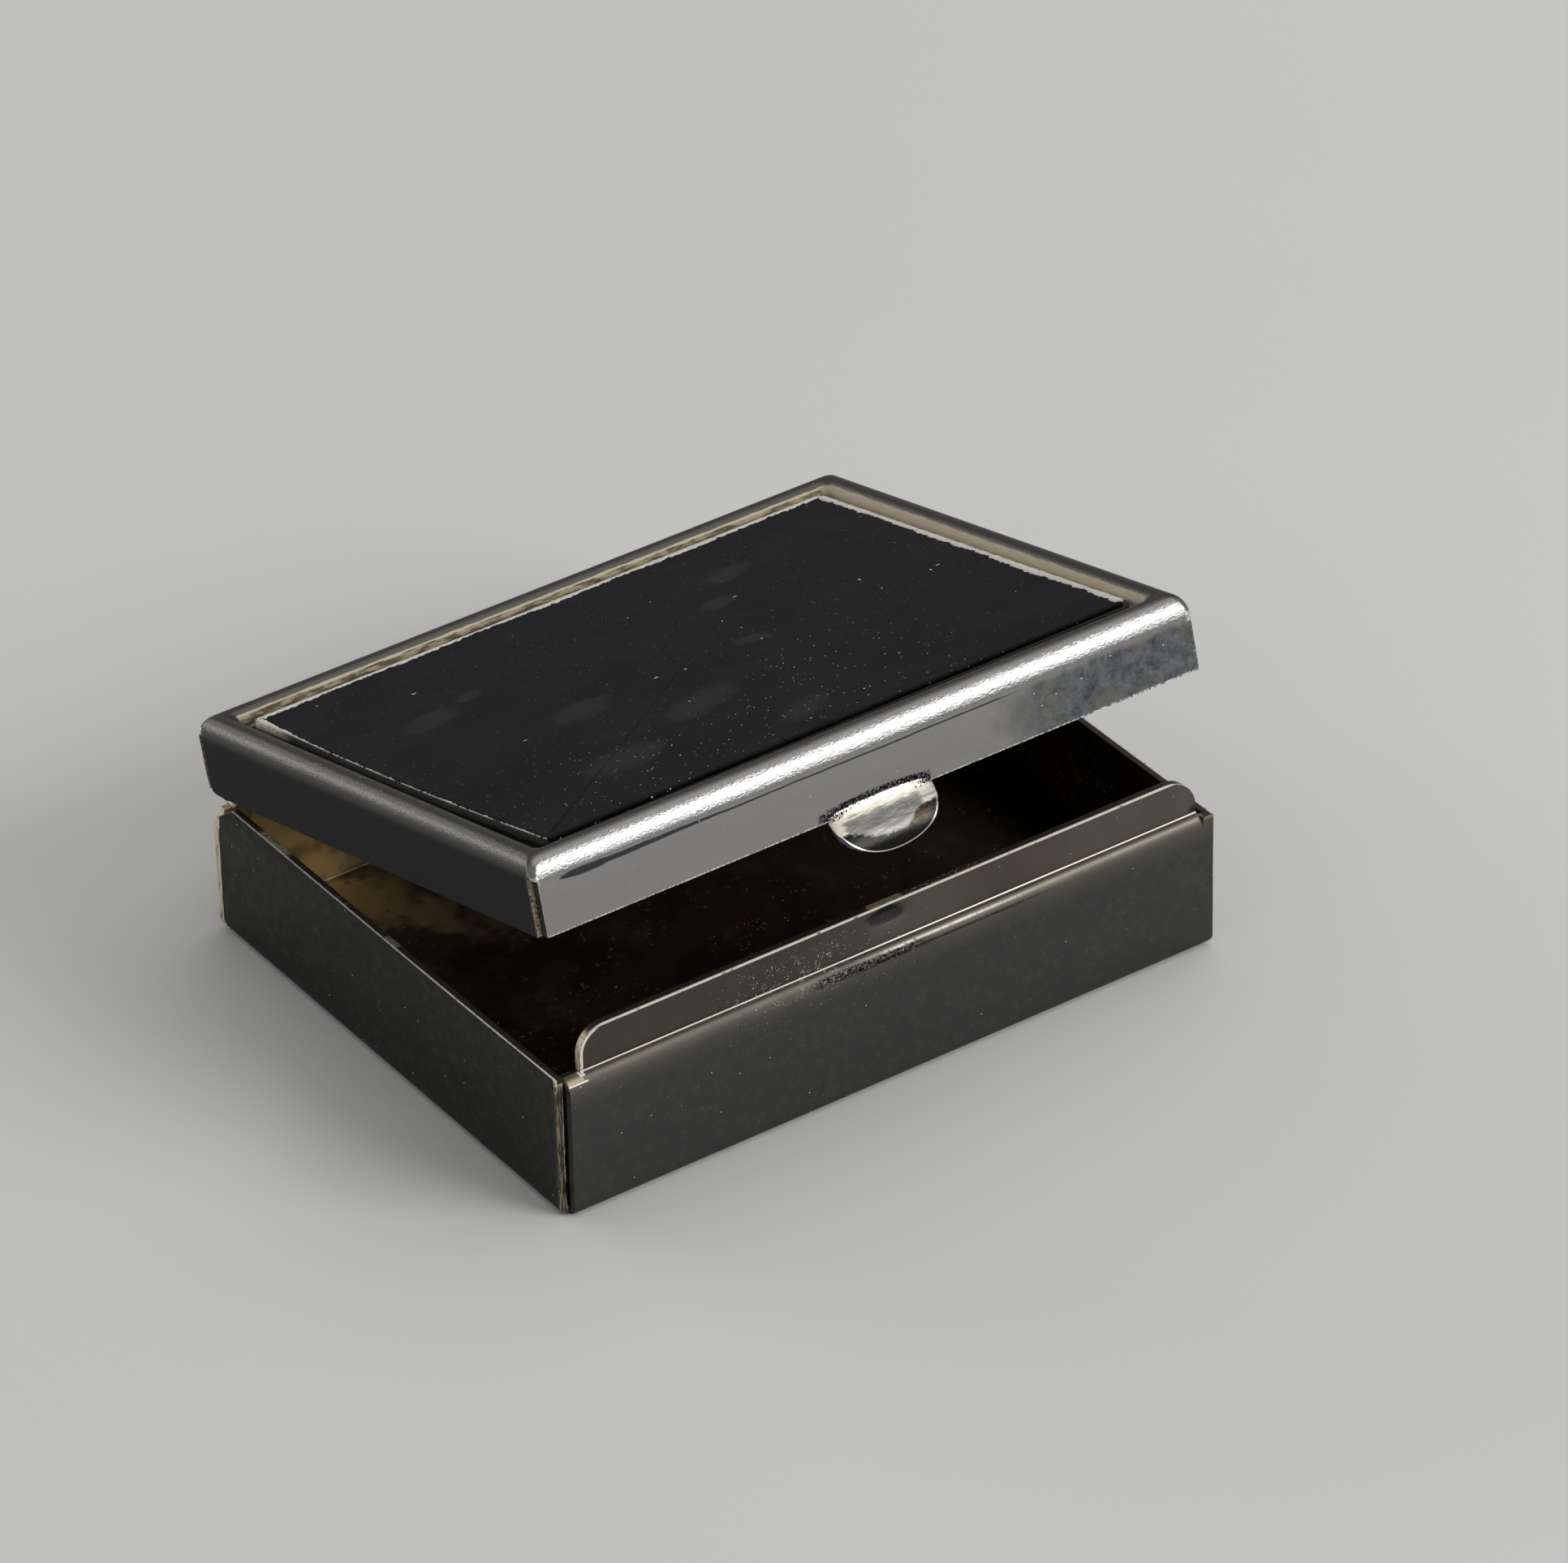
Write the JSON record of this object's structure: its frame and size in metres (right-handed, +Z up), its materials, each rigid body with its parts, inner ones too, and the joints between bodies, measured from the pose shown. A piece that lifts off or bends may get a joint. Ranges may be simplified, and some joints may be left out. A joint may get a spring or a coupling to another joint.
{
  "type": "pillbox",
  "caption": "Shallow rectangular pillbox of folded plated sheet, with a lid hinged along its back, a thumb tab, a closing lip with a detent and a dark inlay in a raised frame.",
  "frame": {"origin": "centre of the closed box's plan, on the underside of the base", "axes": "+X to the right along the front, +Y to the hinge at the back, +Z up"},
  "size_m": [0.052, 0.0442, 0.0262],
  "materials": {
    "plated_sheet": "satin to polished, scuffed",
    "inlay": "gloss, smudged",
    "adhesive": "matt",
    "hinge_tube": "dull plated",
    "pin_wire": "drawn"
  },
  "bodies": {
    "base": {"base_tray": "plated_sheet", "hinge_pin": "pin_wire", "hinge_knuckle_1": "hinge_tube", "hinge_knuckle_3": "hinge_tube", "hinge_knuckle_5": "hinge_tube"},
    "lid": {"lid_shell": "plated_sheet", "lid_inlay": "inlay", "inlay_adhesive": "adhesive", "hinge_knuckle_2": "hinge_tube", "hinge_knuckle_4": "hinge_tube"}
  },
  "joints": [
    {"name": "lid_hinge", "type": "hinge", "parent": "base", "child": "lid", "pos_m": [0, 0.01985, 0.01065], "axis": [-1, 0, 0], "range_deg": [-14.8, 90.2]}
  ]
}
